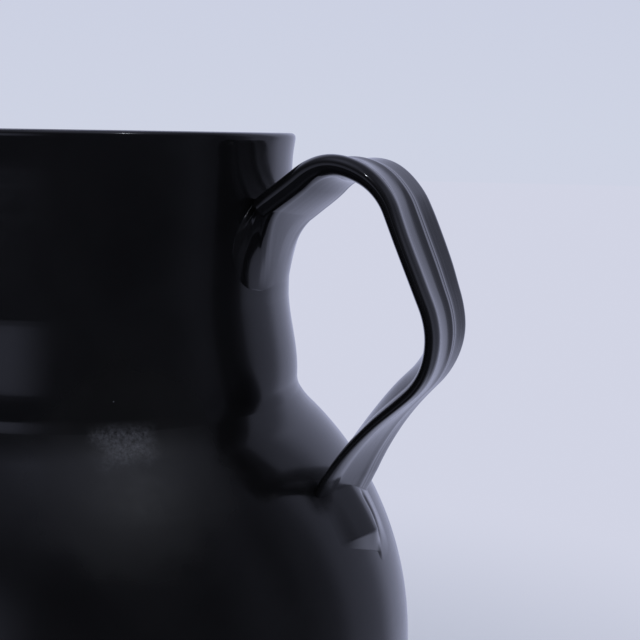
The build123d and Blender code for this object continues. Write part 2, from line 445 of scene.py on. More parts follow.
def rounded_outline(corners, radii, steps=5):
    """A polyline whose corners are rounded, each with its own radius."""
    line = [corners[0]]
    for before, corner, after, radius in zip(corners, corners[1:], corners[2:], radii):
        into, away = unit(np.subtract(corner, before)), unit(np.subtract(after, corner))
        turning = turn_between(into, away)
        start = corner - into * radius * tan(abs(turning) / 2)
        centre = start + np.array([-into[1], into[0]]) * np.sign(turning) * radius
        line += swing(centre, start - centre, turning, steps)
    return line + [corners[-1]]


ring_outside, ring_width, ring_taper, ring_round = base_radius - 4 * mm, 8 * mm, 1 * mm, 1.2 * mm
ring_inside = ring_outside - ring_width
ring_corners = [
    (ring_inside, foot_height), (ring_inside + ring_taper, 0), (ring_outside - ring_taper, 0),
    (ring_outside, foot_height),
]
ring_profile = rounded_outline(ring_corners, [ring_round, ring_round])
ring_profile += along(ring_corners[-1], ring_corners[0], 4)[1:]
foot_ring = thrown_piece("turned_foot_ring", ring_profile, 240, foot_clay, Wobble=0.02 * mm)

# %% [markdown]
# ## The neck and its pouring lip
#
# The neck is a wide collar, straight at first and opening a little higher up, with a thin round lip
# that swells outwards. The wheel tree pulls the lip out at -X into a spout and pinches it on both
# sides, as two fingers do while the clay is soft. The pull grows with the square of the height, so
# the spout flows out of the wall.

# %% Throw the neck
def neck_side(share):
    """The neck's outer radius at a share of its height."""
    flare = neck_flare * max(0, share - waist_share) / (1 - waist_share)
    return neck_radius + flare + lip_swell * exp(-(((1 - share) * neck_height / lip_depth) ** 2))


spout_start = 0.6  # the share of the neck's height where the pull begins
lip_share = 1 - lip_round / neck_height
neck_outside = [
    (neck_side(share), collar_height + neck_height * share) for share in np.linspace(0, lip_share, 130)
]
lip_middle = (neck_side(lip_share) - lip_wall / 2, jug_height - lip_round)
lip_edge = [
    (lip_middle[0] + lip_wall / 2 * cos(angle), lip_middle[1] + lip_round * sin(angle) ** 0.8)
    for angle in np.linspace(0, pi, 17)[1:-1]
]
neck_inside = [
    (neck_side(share) - neck_wall + (neck_wall - lip_wall) * share, collar_height + neck_height * share)
    for share in np.linspace(lip_share, 0, 60)
]
neck_foot = along(neck_inside[-1], neck_outside[0], 3)[1:]
neck = thrown_piece("wide_neck", tidy_line(neck_outside + lip_edge + neck_inside + neck_foot), 320, **{
    "Spout reach": 13 * mm, "Spout pinch": 3 * mm,
    "Spout start height": collar_height + spout_start * neck_height, "Spout top height": jug_height,
})

# %% [markdown]
# ## The roll at the foot of the neck
#
# The neck is thrown apart from the body and luted on with slip. A roll of clay is then worked over
# the joint and smoothed upwards with a wet finger, so it ends in nothing on the neck. Its profile
# is a half wave whose crown sits low. Below the crown a skirt of slip runs out onto the shoulder in
# a soft hollow.

# %% Work the roll over the joint
roll_foot, roll_crown, roll_end = (collar_height + rise * mm for rise in (0.3, 3.4, 29.5))
roll_swell, roll_tuck, roll_dive = 2.93 * mm, 0.12 * mm, 0.06 * mm
skirt_reach, skirt_top, skirt_dip = 1.1 * mm, 1.6 * mm, 0.1 * mm
rim_depth = 6 * mm  # how much of the globe below the shoulder the skirt may lie on


def roll_side(height):
    """The roll's outer radius: a half wave that dives just under the neck's face at its end."""
    if height < roll_crown:
        tucked = (roll_crown - height) / (roll_crown - roll_foot)
        return neck_radius + roll_swell - roll_tuck * tucked**2
    share = (height - roll_crown) / (roll_end - roll_crown)
    return neck_radius + roll_swell * (0.5 + 0.5 * cos(pi * share)) - roll_dive * share**3


def shoulder_under(radius):
    """The height of the body's face under the roll at a radius."""
    rim = [point for point in body_outside if point[1] > shoulder_height - rim_depth]
    return float(np.interp(-radius, [-point[0] for point in rim], [point[1] for point in rim]))


skirt_height = roll_foot + skirt_top
skirt = []
for share in np.linspace(0, 1, 14):
    radius = roll_side(skirt_height) + skirt_reach * (1 - share) ** 2
    ground = shoulder_under(radius) - skirt_dip
    skirt.append((radius, ground + (skirt_height - ground) * share**2))
roll_line = skirt + [(roll_side(height), height) for height in np.linspace(skirt_height, roll_end, 84)[1:]]
# The hidden side: down inside the neck's wall, out over the collar and just under the shoulder
roll_back, over_collar, over_edge = neck_radius - 1.5 * mm, 0.1 * mm, 0.05 * mm
before_edge, past_edge, under_shoulder = 0.6 * mm, 0.2 * mm, 0.5 * mm
roll_line += [(roll_back, roll_end), (roll_back, collar_height + over_collar)]
roll_line += [(collar_radius - before_edge, collar_height + over_edge)]
hidden_radii = np.linspace(collar_radius + past_edge, skirt[0][0], 8)
roll_line += [(radius, shoulder_under(radius) - under_shoulder) for radius in hidden_radii]
neck_roll = thrown_piece("neck_roll_of_clay", roll_line + roll_line[:1], 300)

# %% [markdown]
# ## The handle's line
#
# A strap handle is pulled like taffy out of a wet lump of clay, bent over and left to stiffen, so
# its line is a run of soft bends. Here it leaves the neck, goes over the crest, down to the elbow
# and back to the globe: straight runs with rounded corners and one last arc.

# %% Lay out the route
root_drop = 23 * mm
crest_out, crest_up, crest_radius = 31.3 * mm, 1.5 * mm, 17.2 * mm
elbow_out, elbow_up, elbow_radius = 33.0 * mm, 43.1 * mm, 24.1 * mm
limb_run, limb_angle, foot_angle = 18.6 * mm, radians(46.3), radians(33.2)
route_root = (neck_side(1 - root_drop / neck_height), jug_height - root_drop)
crest_corner = (neck_radius + crest_out, jug_height + crest_up)
route_foot = np.array([body_radius * cos(foot_angle), body_centre + body_radius * sin(foot_angle)])
elbow_corner = (route_foot[0] + elbow_out, route_foot[1] + elbow_up)
limb_way = np.array([-cos(limb_angle), -sin(limb_angle)])
limb_end = elbow_corner + limb_run * limb_way
route_corners = [route_root, crest_corner, elbow_corner, limb_end]
route = rounded_outline(route_corners, [crest_radius, elbow_radius], steps=40)

# The last bend: one arc that leaves the limb without a kink and ends on the globe
to_foot = route_foot - limb_end
limb_side = np.array([-limb_way[1], limb_way[0]])
last_centre = limb_end + limb_side * float(to_foot @ to_foot) / (2 * float(to_foot @ limb_side))
last_arm = limb_end - last_centre
route += swing(last_centre, last_arm, turn_between(last_arm, route_foot - last_centre), 24)[1:]
route = np.array(tidy_line(route))
way = np.concatenate([[0], np.cumsum(np.hypot(*np.diff(route, axis=0).T))])
strap_start, strap_end = 6 * mm, way[-1] - 4.5 * mm


def on_route(distance):
    """The place on the route at a distance from its start."""
    return np.array([np.interp(distance, way, column) for column in route.T])


print("route length in mm:", round(way[-1] / mm, 1), "ends at", np.round(route[-1] / mm, 1))

# %% [markdown]
# ## Sizes along the strap
#
# Along the line the strap's width, thickness, back and twist change little by little. A table holds
# them at some stations, as shares of the strap's own sizes, and a smooth curve runs between them.

# %% Sizes along the strap
strap_width, strap_thickness, back_rise, channel_depth = 33 * mm, 5.1 * mm, 3.3 * mm, 0.62 * mm
# Each row: share of the way, width, thickness and back rise as shares of their sizes, twist in degrees,
# thinning of the near edge, shift outwards and rise of the middle in mm, drift of the ribs, their relief
strap_shares = np.array([
    (0.00, 1.13, 1.37, 0.20, 5.0, 0.0, -0.6, 0.0, 0.0, 1.0),
    (0.07, 1.09, 1.37, 0.24, 5.0, 0.0, -0.6, 0.0, 0.0, 1.0),
    (0.14, 1.05, 1.22, 0.24, 4.0, 0.0, 0.1, 0.0, 0.0, 1.0),
    (0.21, 1.02, 1.15, 0.26, 0.0, 0.2, -0.1, 0.0, 0.0, 1.0),
    (0.28, 1.01, 1.12, 0.24, -0.5, 0.9, -0.65, 0.0, 0.0, 1.0),
    (0.36, 1.00, 1.10, 0.18, -2.0, 1.4, -0.45, 0.0, 0.0, 1.0),
    (0.46, 1.00, 1.10, 0.15, -1.6, 1.5, -0.35, 0.0, 0.0, 1.0),
    (0.55, 1.00, 1.10, 0.20, 0.5, 1.5, -0.6, 0.0, 0.02, 1.0),
    (0.62, 1.00, 1.08, 0.42, 1.0, 1.5, -0.3, 0.0, 0.06, 0.9),
    (0.69, 1.01, 1.04, 0.86, 2.0, 1.4, -0.1, 0.1, 0.12, 0.7),
    (0.76, 1.02, 1.00, 0.98, 1.5, 1.3, -0.25, 0.4, 0.20, 0.5),
    (0.84, 1.02, 0.96, 0.80, -1.0, 1.2, -0.8, 0.8, 0.27, 0.35),
    (0.92, 1.02, 0.92, 0.65, -4.0, 1.0, -1.2, 1.2, 0.32, 0.3),
    (1.00, 1.02, 0.88, 0.50, -7.0, 0.6, -1.5, 1.6, 0.35, 0.3),
])
measures = {
    "width": strap_width, "thickness": strap_thickness, "back_rise": back_rise, "twist": radians(1),
    "thinning": mm, "shift": mm, "middle_rise": mm, "drift": 1, "relief": channel_depth,
}


def eased(share, column):
    """A value of the table between its rows, without kinks."""
    shares, values = strap_shares[:, 0], strap_shares[:, column]
    slopes = np.gradient(values, shares)
    place = int(np.clip(np.searchsorted(shares, share) - 1, 0, len(shares) - 2))
    width = shares[place + 1] - shares[place]
    part = float(np.clip((share - shares[place]) / width, 0, 1))
    rise = values[place + 1] - values[place]
    leaving, arriving = part**3 - 2 * part**2 + part, part**3 - part**2
    bend = slopes[place] * width * leaving + slopes[place + 1] * width * arriving
    return values[place] + rise * (3 * part**2 - 2 * part**3) + bend


def strap_sizes(distance):
    """Every measure of the strap at a distance along the route, by name."""
    share = (distance - strap_start) / (strap_end - strap_start)
    return {name: size * eased(share, column) for column, (name, size) in enumerate(measures.items(), 1)}


print("strap halfway:", {name: round(size, 4) for name, size in strap_sizes(way[-1] / 2).items()})

# %% [markdown]
# ## The strap's section
#
# Cut across, the strap has a soft rib along each edge and a narrow one down the middle, with a
# shallow channel on each side of it, and a back that swells a little. A fine ridge runs in the
# channel beyond the middle rib. Past the crest the near edge is thinner than the far one. The
# section is kept as a loop of points that hold shares instead of lengths: across the width, through
# the thickness, and of the back's swelling, with named attributes for the channels, for the
# thinning and for the middle. The tree turns the shares into lengths at each station.

# %% Draw the section's loop
edge_rib, back_edge = 0.8, 0.7
# Each pair: share of half the width, share of the channel depth
channel_shares = np.array([
    (-1.0, 1.1), (-0.9, 0.7), (-0.83, 0.3), (-0.78, 0.08), (-0.74, 0.0), (-0.7, 0.06), (-0.64, 0.3),
    (-0.58, 0.54), (-0.5, 0.74), (-0.42, 0.87), (-0.34, 0.96), (-0.27, 1.0), (-0.2, 0.95), (-0.13, 0.75),
    (-0.06, 0.4), (-0.01, 0.12), (0.02, 0.0), (0.06, 0.1), (0.11, 0.42), (0.16, 0.74), (0.195, 0.9),
    (0.225, 0.7), (0.255, 0.84), (0.29, 1.02), (0.33, 1.1), (0.4, 1.02), (0.5, 0.8), (0.6, 0.55), (0.7, 0.3),
    (0.8, 0.05), (0.88, -0.12), (0.95, -0.2), (1.0, -0.2),
])
spread = -np.cos(np.linspace(0, pi, 500))
off_middle = np.abs(spread)
flat = np.zeros(len(spread))


def falling(edge):
    """1 across the middle, falling to 0 from a place near the edge to the edge itself."""
    return 1 - np.clip((off_middle - edge) / (1 - edge), 0, 1) ** 2


outer_face, back_face = np.sqrt(falling(edge_rib)), -np.sqrt(falling(back_edge))
# Each pair: what the outer face holds, what the back holds
loop = np.stack([np.concatenate([outer[:-1], back[:0:-1]]) for outer, back in (
    (spread, spread),
    (outer_face, back_face),
    (flat, 1 - np.clip(off_middle / back_edge, 0, 1) ** 2),
    (np.interp(spread, *channel_shares.T) * falling(edge_rib), flat),
    ((1 - spread) / 2 * outer_face, flat),
    (np.clip(1 - ((spread - 0.25) / 0.95) ** 2, 0, 1) * outer_face, flat),
)], axis=1)


def bell_weights(reach, spread):
    """Weights for an average of neighbours, the most in the middle."""
    weights = np.exp(-(np.arange(-reach, reach + 1) / spread) ** 2)
    return weights / weights.sum()


def section_lengths(values, sizes):
    """The loop's points as lengths across and outwards."""
    across, through, swell, channel, near_side, middle = values.T
    outwards = through * sizes["thickness"] / 2 - swell * sizes["back_rise"] + sizes["shift"]
    outwards -= channel * sizes["relief"] + near_side * sizes["thinning"] - middle * sizes["middle_rise"]
    return np.stack([(across + sizes["drift"] * (1 - across**2)) * sizes["width"] / 2, outwards], axis=1)


# The loop is rounded off, then its points are set at even steps round a drawn section
blend = 9  # neighbours on each side
wrapped = np.concatenate([loop[-blend:], loop, loop[:blend]])
loop = np.stack([np.convolve(column, bell_weights(blend, 3), mode="valid") for column in wrapped.T], axis=1)
drawn = section_lengths(loop, strap_sizes(way[-1] / 3))
loop_way = np.concatenate([[0], np.cumsum(np.hypot(*(np.roll(drawn, -1, axis=0) - drawn).T))])
section_points = 240
even = np.linspace(0, loop_way[-1], section_points + 1)[:-1]
closed = np.concatenate([loop, loop[:1]])
section = np.stack([np.interp(even, loop_way, column) for column in closed.T], axis=1)
print("section:", section_points, "points,", round(loop_way[-1] / mm, 1), "mm round")

# %% [markdown]
# ## The strap tree
#
# Curve to Mesh sweeps one fixed profile, but this section changes along the way in nine separate
# measures. So the tree samples the route and the section by index, like the wheel tree: each
# column of a grid is a station on the route, each row a point of the section. The first and last
# columns shrink to a point and close the ends.

# %% Build the strap tree
strap_tree, strap_in = new_group("GeometryNodeTree", "ribbed_strap", [
    ("Geometry", "Geometry"),
    ("Section", "Object"),
    ("Stations", "Int", 240),
    ("Relief", "Float", 1.0),
    ("Pull mark depth", "Float", 0.1 * mm),
    ("Unevenness", "Float", 0.3 * mm),
    ("Seed", "Float", 1.0),
    ("Material", "Material"),
], [("Geometry", "Geometry")])
route_curve = out(strap_tree, "GeometryNodeMeshToCurve", {"Mesh": strap_in["Geometry"]})
stations = out(strap_tree, "GeometryNodeResampleCurve", {"Curve": route_curve, "Count": strap_in["Stations"]})
profile_loop = out(strap_tree, "GeometryNodeObjectInfo", {"Object": strap_in["Section"]}, "Geometry")
loop_size = point_count(profile_loop)
strap_mesh, loop_row, station = swept_grid(strap_tree, loop_size + 1, strap_in["Stations"] + 2)
loop_row = loop_row.math("MODULO", loop_size)
inner_station = (station - 1).math("MAXIMUM", 0).math("MINIMUM", strap_in["Stations"] - 1)
open_share = 1 - abs(station - 1 - inner_station)
position = out(strap_tree, "GeometryNodeInputPosition")


def named(name, geometry, index):
    """A named attribute of one point of a geometry."""
    value = out(strap_tree, "GeometryNodeInputNamedAttribute", {"Name": name}, "Attribute", data_type="FLOAT")
    return sampled(geometry, "FLOAT", value, index)


place = sampled(stations, "FLOAT_VECTOR", position, inner_station)
travel = sampled(stations, "FLOAT_VECTOR", out(strap_tree, "GeometryNodeInputTangent"), inner_station)
across, through, swell = split(sampled(profile_loop, "FLOAT_VECTOR", position, loop_row))
channel, near_side, middle = [
    named(name, profile_loop, loop_row) for name in ("channel", "near_side", "middle")
]
size = {name: named(name, stations, inner_station) for name in measures}

# Long streaks from the wet hand that pulled the strap, and a slow unevenness
streaks_across, streaks_through, streaks_along = 9.0, 2.0, 0.012
streak_place = join(
    strap_tree, across * streaks_across, through * streaks_through, station * streaks_along
)
streaks = noise(strap_tree, Vector=streak_place, W=strap_in["Seed"], Scale=1.0, Detail=3.0)
lumps = noise(strap_tree, Vector=place, W=strap_in["Seed"], Scale=38.0, Detail=1.0)
by_hand = (streaks - 0.5) * strap_in["Pull mark depth"] + (lumps - 1.0) * strap_in["Unevenness"]

across_width = (across + (1 - across * across) * size["drift"]) * (size["width"] * 0.5)
sunk = channel * (size["relief"] * strap_in["Relief"]) + near_side * size["thinning"]
outwards = through * (size["thickness"] * 0.5) - swell * size["back_rise"]
outwards = outwards - (sunk - middle * size["middle_rise"]) + by_hand + size["shift"]


def two_ways(first, first_length, second, second_length):
    """The sum of two directions, each times its own length."""
    return calc_vector(
        strap_tree, "ADD", calc_vector(strap_tree, "SCALE", first, scale=first_length),
        calc_vector(strap_tree, "SCALE", second, scale=second_length),
    )


width_way = (0.0, 1.0, 0.0)
out_way = calc_vector(strap_tree, "CROSS_PRODUCT", travel, width_way)
twist_cos, twist_sin = size["twist"].math("COSINE"), size["twist"].math("SINE")
width_axis = two_ways(width_way, twist_cos, out_way, twist_sin * -1.0)
out_axis = two_ways(out_way, twist_cos, width_way, twist_sin)
off_route = two_ways(width_axis, across_width * open_share, out_axis, outwards * open_share)
strap_point = calc_vector(strap_tree, "ADD", place, off_route)
finish_tree(strap_tree, moved(strap_mesh, strap_point), strap_in["Material"])

# %% Pull the strap
first_station, past_foot = 2.5 * mm, 4 * mm
last_way = unit(route[-1] - route[-2])
strap_run = np.linspace(first_station, way[-1] + past_foot, 180)
run_places = [on_route(distance) + last_way * max(0, distance - way[-1]) for distance in strap_run]
strap_line = line_mesh("strap_line", [(place_out, 0, place_up) for place_out, place_up in run_places])
sizes_along = [strap_sizes(distance) for distance in strap_run]
for name in measures:
    measure = strap_line.attributes.new(name, "FLOAT", "POINT")
    measure.data.foreach_set("value", [sizes[name] for sizes in sizes_along])
loop_edges = [(number, (number + 1) % section_points) for number in range(section_points)]
section_mesh = plain_mesh("strap_section", section[:, :3], loop_edges)
for column, name in ((3, "channel"), (4, "near_side"), (5, "middle")):
    section_mesh.attributes.new(name, "FLOAT", "POINT").data.foreach_set("value", section[:, column])
section_loop = show("strap_section", section_mesh)
strap = made_by(strap_tree, "ribbed_strap_handle", strap_line, {
    "Section": section_loop, "Stations": 300, "Relief": 1.0, "Pull mark depth": 0.04 * mm,
    "Unevenness": 0.16 * mm, "Seed": 7.0, "Material": glaze,
})
bpy.data.objects.remove(section_loop)

# %% [markdown]
# ## The ear on the neck
#
# The strap's upper end is thumbed out onto the neck: its outer face spreads into a broad ear, and
# its underside runs down into the neck below. Lines that start on the strap's own section and end on
# the neck describe this well, so the ear is a grid of such lines, each one with two ends and two
# handles, like a Bezier segment in the curve editor.

# %% Thumb the ear onto the neck
def ring_at(distance, half_step=0.5 * mm):
    """The strap's section in place at a distance along the route, with the direction of travel."""
    sizes = strap_sizes(distance)
    across_way = np.array([0, 1, 0])
    ahead = np.insert(unit(on_route(distance + half_step) - on_route(distance - half_step)), 1, 0)
    out_way = np.cross(ahead, across_way)
    width_dir = across_way * cos(sizes["twist"]) - out_way * sin(sizes["twist"])
    out_dir = out_way * cos(sizes["twist"]) + across_way * sin(sizes["twist"])
    lengths = section_lengths(section, sizes)
    points = np.insert(on_route(distance), 1, 0) + lengths[:, :1] * width_dir + lengths[:, 1:] * out_dir
    return points, ahead


def on_neck(side, height, proud=0.0):
    """A point on the neck's face: its place across the handle's plane and its height in mm."""
    side, height = side * mm, height * mm
    radius = neck_side((height - collar_height) / neck_height) + proud
    return np.array([sqrt(max(radius**2 - side**2, 0)), side, height])


# Where the lines end on the neck. Each row: share of the outer face or the back, place across the
# handle's plane and height in mm, the way to the last curve handle in mm across, up and off the neck
ear_rows = np.array([
    (0.00, -10.4, 198.6, 0.0, 10.0, 2.2), (0.03, -15.2, 199.6, 0.2, 6.5, 2.2),
    (0.06, -19.2, 202.6, 1.4, 4.0, 2.6), (0.10, -21.8, 209.0, 2.8, 2.8, 2.5),
    (0.15, -21.0, 214.6, 3.0, 1.5, 2.3), (0.22, -17.8, 219.6, 2.6, 0.4, 2.0),
    (0.32, -13.7, 223.6, 1.6, -1.0, 1.6), (0.42, -7.0, 226.0, 0.6, -1.2, 1.2),
    (0.50, 0.0, 226.8, 0.0, -1.2, 1.0),
])
underside_rows = np.array([
    (0.00, -10.4, 198.6, 0.0, 10.0, 2.2), (0.05, -8.4, 198.2, 0.1, 10.8, 1.5),
    (0.12, -6.4, 198.0, 0.1, 12.0, 1.1), (0.22, -4.2, 198.0, 0.1, 13.2, 1.0),
    (0.35, -2.0, 198.4, 0.0, 13.8, 1.1), (0.50, 0.0, 198.8, 0.0, 14.2, 1.2),
])
# The far half spreads further than the near one, least so where the near one is widest. Its curve
# handles reach further up and stand less far off the neck
far_most, far_least, near_foot, near_widest = 1.8, 1.15, 10.4, 21.8
far_pull, far_lift = 0.45, 0.35


def both_halves(rows, shares, blend=24):
    """Values between the rows, rounded off over some neighbours, mirrored beyond the middle."""
    fine = np.linspace(-0.2, 0.5, 561)
    values = np.stack([np.interp(fine, rows[:, 0], column) for column in rows.T[1:]], axis=1)
    known = values[fine >= 0]
    values[fine < 0] = 2 * known[0] - known[1:1 + int((fine < 0).sum())][::-1]
    padded = np.concatenate([values, values[-2:-2 - blend:-1] * np.array([-1, 1, -1, 1, 1])])
    rounded = [np.convolve(column, bell_weights(blend, 10), mode="same")[:len(fine)] for column in padded.T]
    found = np.stack([np.interp(np.minimum(shares, 1 - shares), fine, column) for column in rounded], axis=1)
    beyond, far_share = shares > 0.5, np.clip(2 * shares - 1, 0, 1)
    widened = np.clip((np.abs(found[:, 0]) - near_foot) / (near_widest - near_foot), 0, 1)
    found[:, 0] *= np.where(beyond, (far_most - far_least) * widened - far_most, 1)
    found[:, 2] *= np.where(beyond, -1, 1)
    found[:, 3] *= 1 + far_pull * far_share
    found[:, 4] *= 1 - far_lift * far_share
    return found


first_back = int(np.argmax(section[:, 0]))
over = np.linspace(0, 1, first_back + 1)
under = np.linspace(0, 1, section_points - first_back + 1)[1:-1]
feet = np.concatenate([both_halves(ear_rows, over), both_halves(underside_rows, 1 - under)])
in_strap, first_pull, foot_sunk = 1.5 * mm, 5.5 * mm, 0.15 * mm
leave_ring, leave_way = ring_at(strap_start + in_strap)
ring_middle = leave_ring.mean(axis=0)
first_handles = leave_ring - leave_way * first_pull
foot_points = np.array([on_neck(*foot[:2], -foot_sunk) for foot in feet])
neck_out = foot_points * (1, 1, 0) / np.hypot(*foot_points.T[:2])[:, None]
last_handles = np.array([on_neck(*(foot[:2] + foot[2:4])) for foot in feet]) + neck_out * feet[:, 4:] * mm
ear_steps = 44
share = np.linspace(0, 1, ear_steps + 1)[:, None, None]
ear_grid = (
    (1 - share) ** 3 * leave_ring + 3 * (1 - share) ** 2 * share * first_handles
    + 3 * (1 - share) * share**2 * last_handles + share**3 * foot_points
)
# The lines start a little inside the strap and come out of it without a step
inset_steps, most_inset = 6, 0.06 * mm
for step in range(inset_steps):
    pull_in = ear_grid[step].mean(axis=0) - ear_grid[step]
    inset = most_inset * (1 - step / inset_steps) ** 2
    ear_grid[step] += pull_in / np.linalg.norm(pull_in, axis=1)[:, None] * inset
# Hidden rings close the shell: two inside the strap, three under the neck's face round a middle height
ring_sunk, under_face, ear_middle = 2 * mm, 1.2 * mm, 213
start_rings = [
    leave_ring + (ring_middle - leave_ring) * inward + leave_way * ring_sunk for inward in (0.4, 0.08)
]
neck_rings = [
    [on_neck(foot[0] * (1 - inward), foot[1] + (ear_middle - foot[1]) * inward, -under_face) for foot in feet]
    for inward in (0.35, 0.7, 0.93)
]


def squares(rows, columns, closed=False):
    """The squares of a grid of points. A closed grid joins its last column to its first."""
    found = []
    for row in range(rows - 1):
        for column in range(columns if closed else columns - 1):
            here, after = row * columns + column, row * columns + (column + 1) % columns
            found.append((here, after, after + columns, here + columns))
    return found


def shell_of_rings(name, rings, material):
    """A closed shell of rings of points, with a fan at each end."""
    count, around = rings.shape[:2]
    points = list(rings.reshape(-1, 3)) + [rings[0].mean(axis=0), rings[-1].mean(axis=0)]
    faces = squares(count, around, closed=True)
    last = (count - 1) * around
    for number in range(around):
        after = (number + 1) % around
        faces += [(number, count * around, after), (last + number, last + after, count * around + 1)]
    mesh = plain_mesh(name, points, faces=faces)
    mesh.materials.append(material)
    return show_shell(name, mesh)


ear = shell_of_rings("ear_on_the_neck", np.concatenate([start_rings, ear_grid, neck_rings]), glaze)

# %% [markdown]
# ## The tongue on the shoulder
#
# The lower end is pressed flat on the globe with the thumb, still showing the channel beyond the
# middle rib, and cut off at a slant. That is a relief on a curved ground, so it is made as one: a
# grid laid on the globe, with a height at each point. Where the height is nothing the sheet dips
# just under the globe's face. Lengths are in millimetres here, until `on_globe` places the points.

# %% Press the tongue onto the globe
def smooth_step(value, start, end):
    """From 0 to 1 between two values, with no kink at either."""
    part = np.clip((value - start) / (end - start), 0, 1)
    return part * part * (3 - 2 * part)


side, down = np.meshgrid(np.linspace(-25, 24, 189), np.linspace(-11, 28, 157))
near_edge, far_edge, crown_side = -16.2, 16.0, 1.0
# Thumbed flush with the globe on the near side, thickest down the middle
near_part = np.clip((side - near_edge) / (crown_side - near_edge), 0, 1)
far_part = np.clip((far_edge - side) / (far_edge - crown_side), 0, 1)
bulge = np.where(side < crown_side, near_part**1.35, far_part**0.85)
bulge = np.ones_like(side) * np.convolve(bulge[0], bell_weights(30, 11), mode="same")
thick = 2.4 + 0.03 * np.clip(down, 0, 16)
groove_side, groove_width = 5.6 + 0.05 * down, 1.3
groove = np.exp(-(((side - groove_side) / groove_width) ** 2))
groove *= smooth_step(down, 2, 6) * (1 - smooth_step(down, 16, 22))
# The end is cut at a slant on the near half, and runs out softly beyond the middle
bevel_top, bevel_foot = 14.3 + 0.12 * side, 20.1 + 0.4 * side
cut_end = np.clip((bevel_foot - down) / np.maximum(bevel_foot - bevel_top, 0.5), 0, 1)
soft_end = 1 - smooth_step(down, 9, 26)
far_half = smooth_step(side, 2.5, 5.5)
end = cut_end * (1 - far_half) + soft_end * far_half
behind = smooth_step(down, -4.5 + 0.2 * side, -0.5 + 0.2 * side)
dip, groove_depth, shell_depth = 0.12, 0.45, 1.6
height = -dip + (thick * bulge - groove_depth * groove + dip * smooth_step(bulge, 0, 0.4)) * end * behind


def on_globe(down_way, side_way, proud):
    """A point over the globe: distances down its face and across the handle's plane, and a height."""
    angle, off_side = foot_angle - down_way * mm / body_radius, side_way * mm / body_radius
    reach = body_radius + proud * mm
    return np.stack([
        reach * np.cos(angle) * np.cos(off_side), reach * np.sin(off_side),
        body_centre + reach * np.sin(angle) * np.cos(off_side),
    ], axis=-1)


def shell_of_sheet(name, top, bottom, material):
    """A closed shell between two sheets of points of the same size."""
    rows, columns = top.shape[:2]
    beneath = rows * columns
    faces = []
    for square in squares(rows, columns):
        faces += [square, tuple(index + beneath for index in reversed(square))]
    numbers = np.arange(beneath).reshape(rows, columns)
    rim = [*numbers[0], *numbers[1:, -1], *numbers[-1, -2::-1], *numbers[-2:0:-1, 0]]
    for corner, after in zip(rim, rim[1:] + rim[:1]):
        faces.append((corner, corner + beneath, after + beneath, after))
    mesh = plain_mesh(name, [*top.reshape(-1, 3), *bottom.reshape(-1, 3)], faces=faces)
    mesh.materials.append(material)
    return show_shell(name, mesh)


top, bottom = on_globe(down, side, height), on_globe(down, side, np.full_like(side, -shell_depth))
tongue = shell_of_sheet("tongue_on_the_shoulder", top, bottom, glaze)
# Painted highlight on the cut: how much paler it is painted, kept for the material
painted_cut_highlight = smooth_step(1 - cut_end, 0.02, 0.2) * smooth_step(cut_end, 0.0, 0.1) * (1 - far_half)
painted_cut_highlight *= smooth_step(near_part, 0.05, 0.8)
painted_cut_highlight_values = np.concatenate([painted_cut_highlight.ravel(), np.zeros(painted_cut_highlight.size)])
tongue.data.attributes.new("painted_cut_highlight", "FLOAT", "POINT").data.foreach_set("value", painted_cut_highlight_values)

# %% [markdown]
# ## Say what each piece stands for
#
# Every piece rides on the jug's one body and replaces the CAD node of the same part.

stands_for = {
    body: ("body", "glaze"), foot_ring: ("foot_ring", "foot_clay"), neck: ("neck", "glaze"),
    neck_roll: ("neck_roll", "glaze"), strap: ("handle_strap", "glaze"),
    ear: ("handle_upper_root", "glaze"), tongue: ("handle_lower_root", "glaze"),
}
for piece, (node, slot) in stands_for.items():
    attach(piece, "root")
    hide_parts(node)
print("pieces:", [piece.name for piece in stands_for])

# %% [markdown]
# ## Effects that both finishes share
#
# Glaze and bare clay come out of the same kiln, so both have slow patches where the heat or the
# coat differed, and tiny pits. Each effect is a small node group with named inputs. It reads
# Object coordinates, so the pattern stays fixed to the clay from every side.

# %% Patches and pits as node groups
def on_clay(tree):
    """The place on the piece: Object coordinates."""
    return out(tree, "ShaderNodeTexCoord", output="Object")


patches, patches_in = new_group("ShaderNodeTree", "kiln_patches", [
    ("Size", "Float", 0.03), ("Sharpness", "Float", 0.5),
], [("Mask", "Float")])
scaled = calc_vector(patches, "SCALE", on_clay(patches), scale=1.0 / patches_in["Size"])
cloud = noise(patches, Vector=scaled, Scale=1.0, Detail=4.0, Distortion=0.6)
softness = (1.05 - patches_in["Sharpness"]) * 0.3
add_node(patches, "NodeGroupOutput", {"Mask": fit(cloud, 0.5 - softness, 0.5 + softness)})

pits, pits_in = new_group("ShaderNodeTree", "kiln_pits", [
    ("Spacing", "Float", 0.006), ("Pit radius", "Float", 0.0003), ("Share", "Float", 0.3),
], [("Mask", "Float")])
scaled = calc_vector(pits, "SCALE", on_clay(pits), scale=1.0 / pits_in["Spacing"])
cells = add_node(pits, "ShaderNodeTexVoronoi", {"Vector": scaled, "Scale": 1.0, "Randomness": 1.0}).outputs
edge = pits_in["Pit radius"] / pits_in["Spacing"]
dot = fit(Flow(pits, cells["Distance"]), edge, edge * 0.4, smooth=False)
cell_value = out(pits, "ShaderNodeSeparateColor", {0: Flow(pits, cells["Color"])})
add_node(pits, "NodeGroupOutput", {"Mask": dot * cell_value.math("LESS_THAN", pits_in["Share"])})


def placed(tree, group, **values):
    """Places a shader group in a material with its own values and gives its mask."""
    values = {label.replace("_", " "): value for label, value in values.items()}
    return out(tree, "ShaderNodeGroup", values, node_tree=group)


print("groups:", patches.name, len(patches.nodes), "nodes,", pits.name, len(pits.nodes), "nodes")
